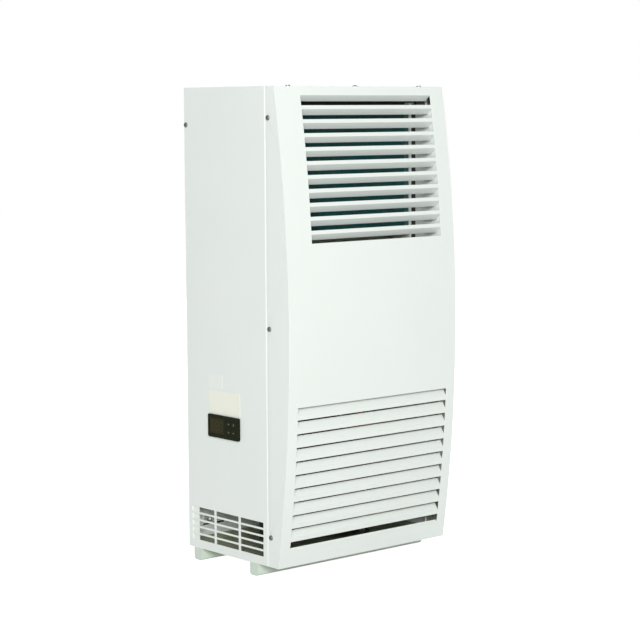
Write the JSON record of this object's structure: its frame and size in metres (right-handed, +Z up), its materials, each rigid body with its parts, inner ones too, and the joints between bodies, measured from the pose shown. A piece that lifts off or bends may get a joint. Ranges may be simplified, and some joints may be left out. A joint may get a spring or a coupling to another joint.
{
  "type": "enclosure cooling unit",
  "caption": "Compact refrigerant cooling unit for an electrical enclosure, with a bowed louvred cover, a side vent, skid rails and a small side controller.",
  "frame": {"origin": "middle of the footprint at the underside of the skid rails", "axes": "+X to the right seen from the louvred cover, +Y to the back panel that faces the enclosure, +Z up"},
  "size_m": [0.3556, 0.2572, 0.7524],
  "materials": {
    "white_paint": "semi-matt powder coat, white with a slight green cast",
    "rail_paint": "semi-matt powder coat",
    "galvanised": "galvanised sheet, dull",
    "coated_sheet": "end plates with the dark coat of the coil",
    "screw_steel": "dark plated screw",
    "zinc": "bright zinc",
    "blue_fins": "blue hydrophilic fin coating",
    "bare_fins": "bare aluminium fins",
    "copper": "copper tube, slightly tarnished",
    "fan_frame_metal": "black cast frame",
    "fan_blade": "black moulded impeller",
    "winding": "laminations and varnished wire",
    "foam": "closed cell foam",
    "pan_plastic": "moulded light plastic",
    "black_enamel": "gloss black enamel",
    "machined_steel": "machined surfaces",
    "rubber": "matt rubber",
    "black_plastic": "moulded black plastic",
    "capacitor_can": "bright can",
    "bezel_plastic": "gloss black front",
    "display_window": "smoked window",
    "key_plastic": "satin key",
    "clip_plastic": "moulded clip",
    "label_film": "blank cream label"
  },
  "bodies": {
    "housing": {"base_pan": "galvanised", "skid_rails": "rail_paint", "base_fasteners": "zinc", "left_side_panel": "white_paint", "right_side_panel": "white_paint", "top_panel": "white_paint", "rear_panel": "white_paint", "cover_frame": "galvanised", "front_cover": "white_paint", "housing_screws": "screw_steel", "intake_baffles": "white_paint", "condenser_fins": "blue_fins", "condenser_tubes": "copper", "condenser_end_plates": "coated_sheet", "condenser_brackets": "white_paint", "intake_seals": "foam", "fan_shroud": "galvanised", "condenser_fan_frame": "fan_frame_metal", "fan_stators": "winding", "fan_screws": "zinc", "bulkhead": "galvanised", "insulation_foam": "foam", "return_fan_frame": "fan_frame_metal", "return_fan_guard": "zinc", "evaporator_fins": "bare_fins", "evaporator_tubes": "copper", "evaporator_end_plates": "galvanised", "evaporator_baffle": "galvanised", "drain_pan": "pan_plastic", "drain_pipe": "pan_plastic", "compressor_shell": "black_enamel", "compressor_stator": "winding", "compressor_pump": "machined_steel", "accumulator": "black_enamel", "compressor_mounts": "rubber", "terminal_cover": "black_plastic", "discharge_pipe": "copper", "liquid_pipe": "copper", "filter_drier": "copper", "capillary_pipe": "copper", "suction_pipe": "copper", "electrical_box": "galvanised", "electrical_box_lid": "galvanised", "run_capacitor": "capacitor_can", "terminal_block": "black_plastic", "controller_bezel": "bezel_plastic", "controller_window": "display_window", "controller_body": "black_plastic", "controller_clips": "clip_plastic", "side_labels": "label_film", "rear_gasket": "foam", "rivet_nuts": "zinc", "cable_bush": "rubber"},
    "condenser_fan": {"condenser_fan_rotor": "fan_blade"},
    "return_fan": {"return_fan_rotor": "fan_blade"},
    "compressor_shaft": {"compressor_crank": "machined_steel"},
    "key_front_top": {"key_front_top": "key_plastic"},
    "key_front_bottom": {"key_front_bottom": "key_plastic"},
    "key_rear_top": {"key_rear_top": "key_plastic"},
    "key_rear_bottom": {"key_rear_bottom": "key_plastic"}
  },
  "joints": [
    {"name": "condenser_fan_spin", "type": "hinge", "parent": "housing", "child": "condenser_fan", "pos_m": [0, 0.00582, 0.617], "axis": [0, 1, 0], "continuous": true},
    {"name": "return_fan_spin", "type": "hinge", "parent": "housing", "child": "return_fan", "pos_m": [0, 0.10342, 0.63], "axis": [0, 1, 0], "continuous": true},
    {"name": "compressor_spin", "type": "hinge", "parent": "housing", "child": "compressor_shaft", "pos_m": [0.0588, 0.03562, 0.1], "axis": [0, 0, 1], "continuous": true},
    {"name": "key_front_top_press", "type": "slide", "parent": "housing", "child": "key_front_top", "axis": [1, 0, 0], "range_m": [0, 0.0005], "stiffness_N_per_m": 400, "springref_m": -0.0005},
    {"name": "key_front_bottom_press", "type": "slide", "parent": "housing", "child": "key_front_bottom", "axis": [1, 0, 0], "range_m": [0, 0.0005], "stiffness_N_per_m": 400, "springref_m": -0.0005},
    {"name": "key_rear_top_press", "type": "slide", "parent": "housing", "child": "key_rear_top", "axis": [1, 0, 0], "range_m": [0, 0.0005], "stiffness_N_per_m": 400, "springref_m": -0.0005},
    {"name": "key_rear_bottom_press", "type": "slide", "parent": "housing", "child": "key_rear_bottom", "axis": [1, 0, 0], "range_m": [0, 0.0005], "stiffness_N_per_m": 400, "springref_m": -0.0005}
  ]
}
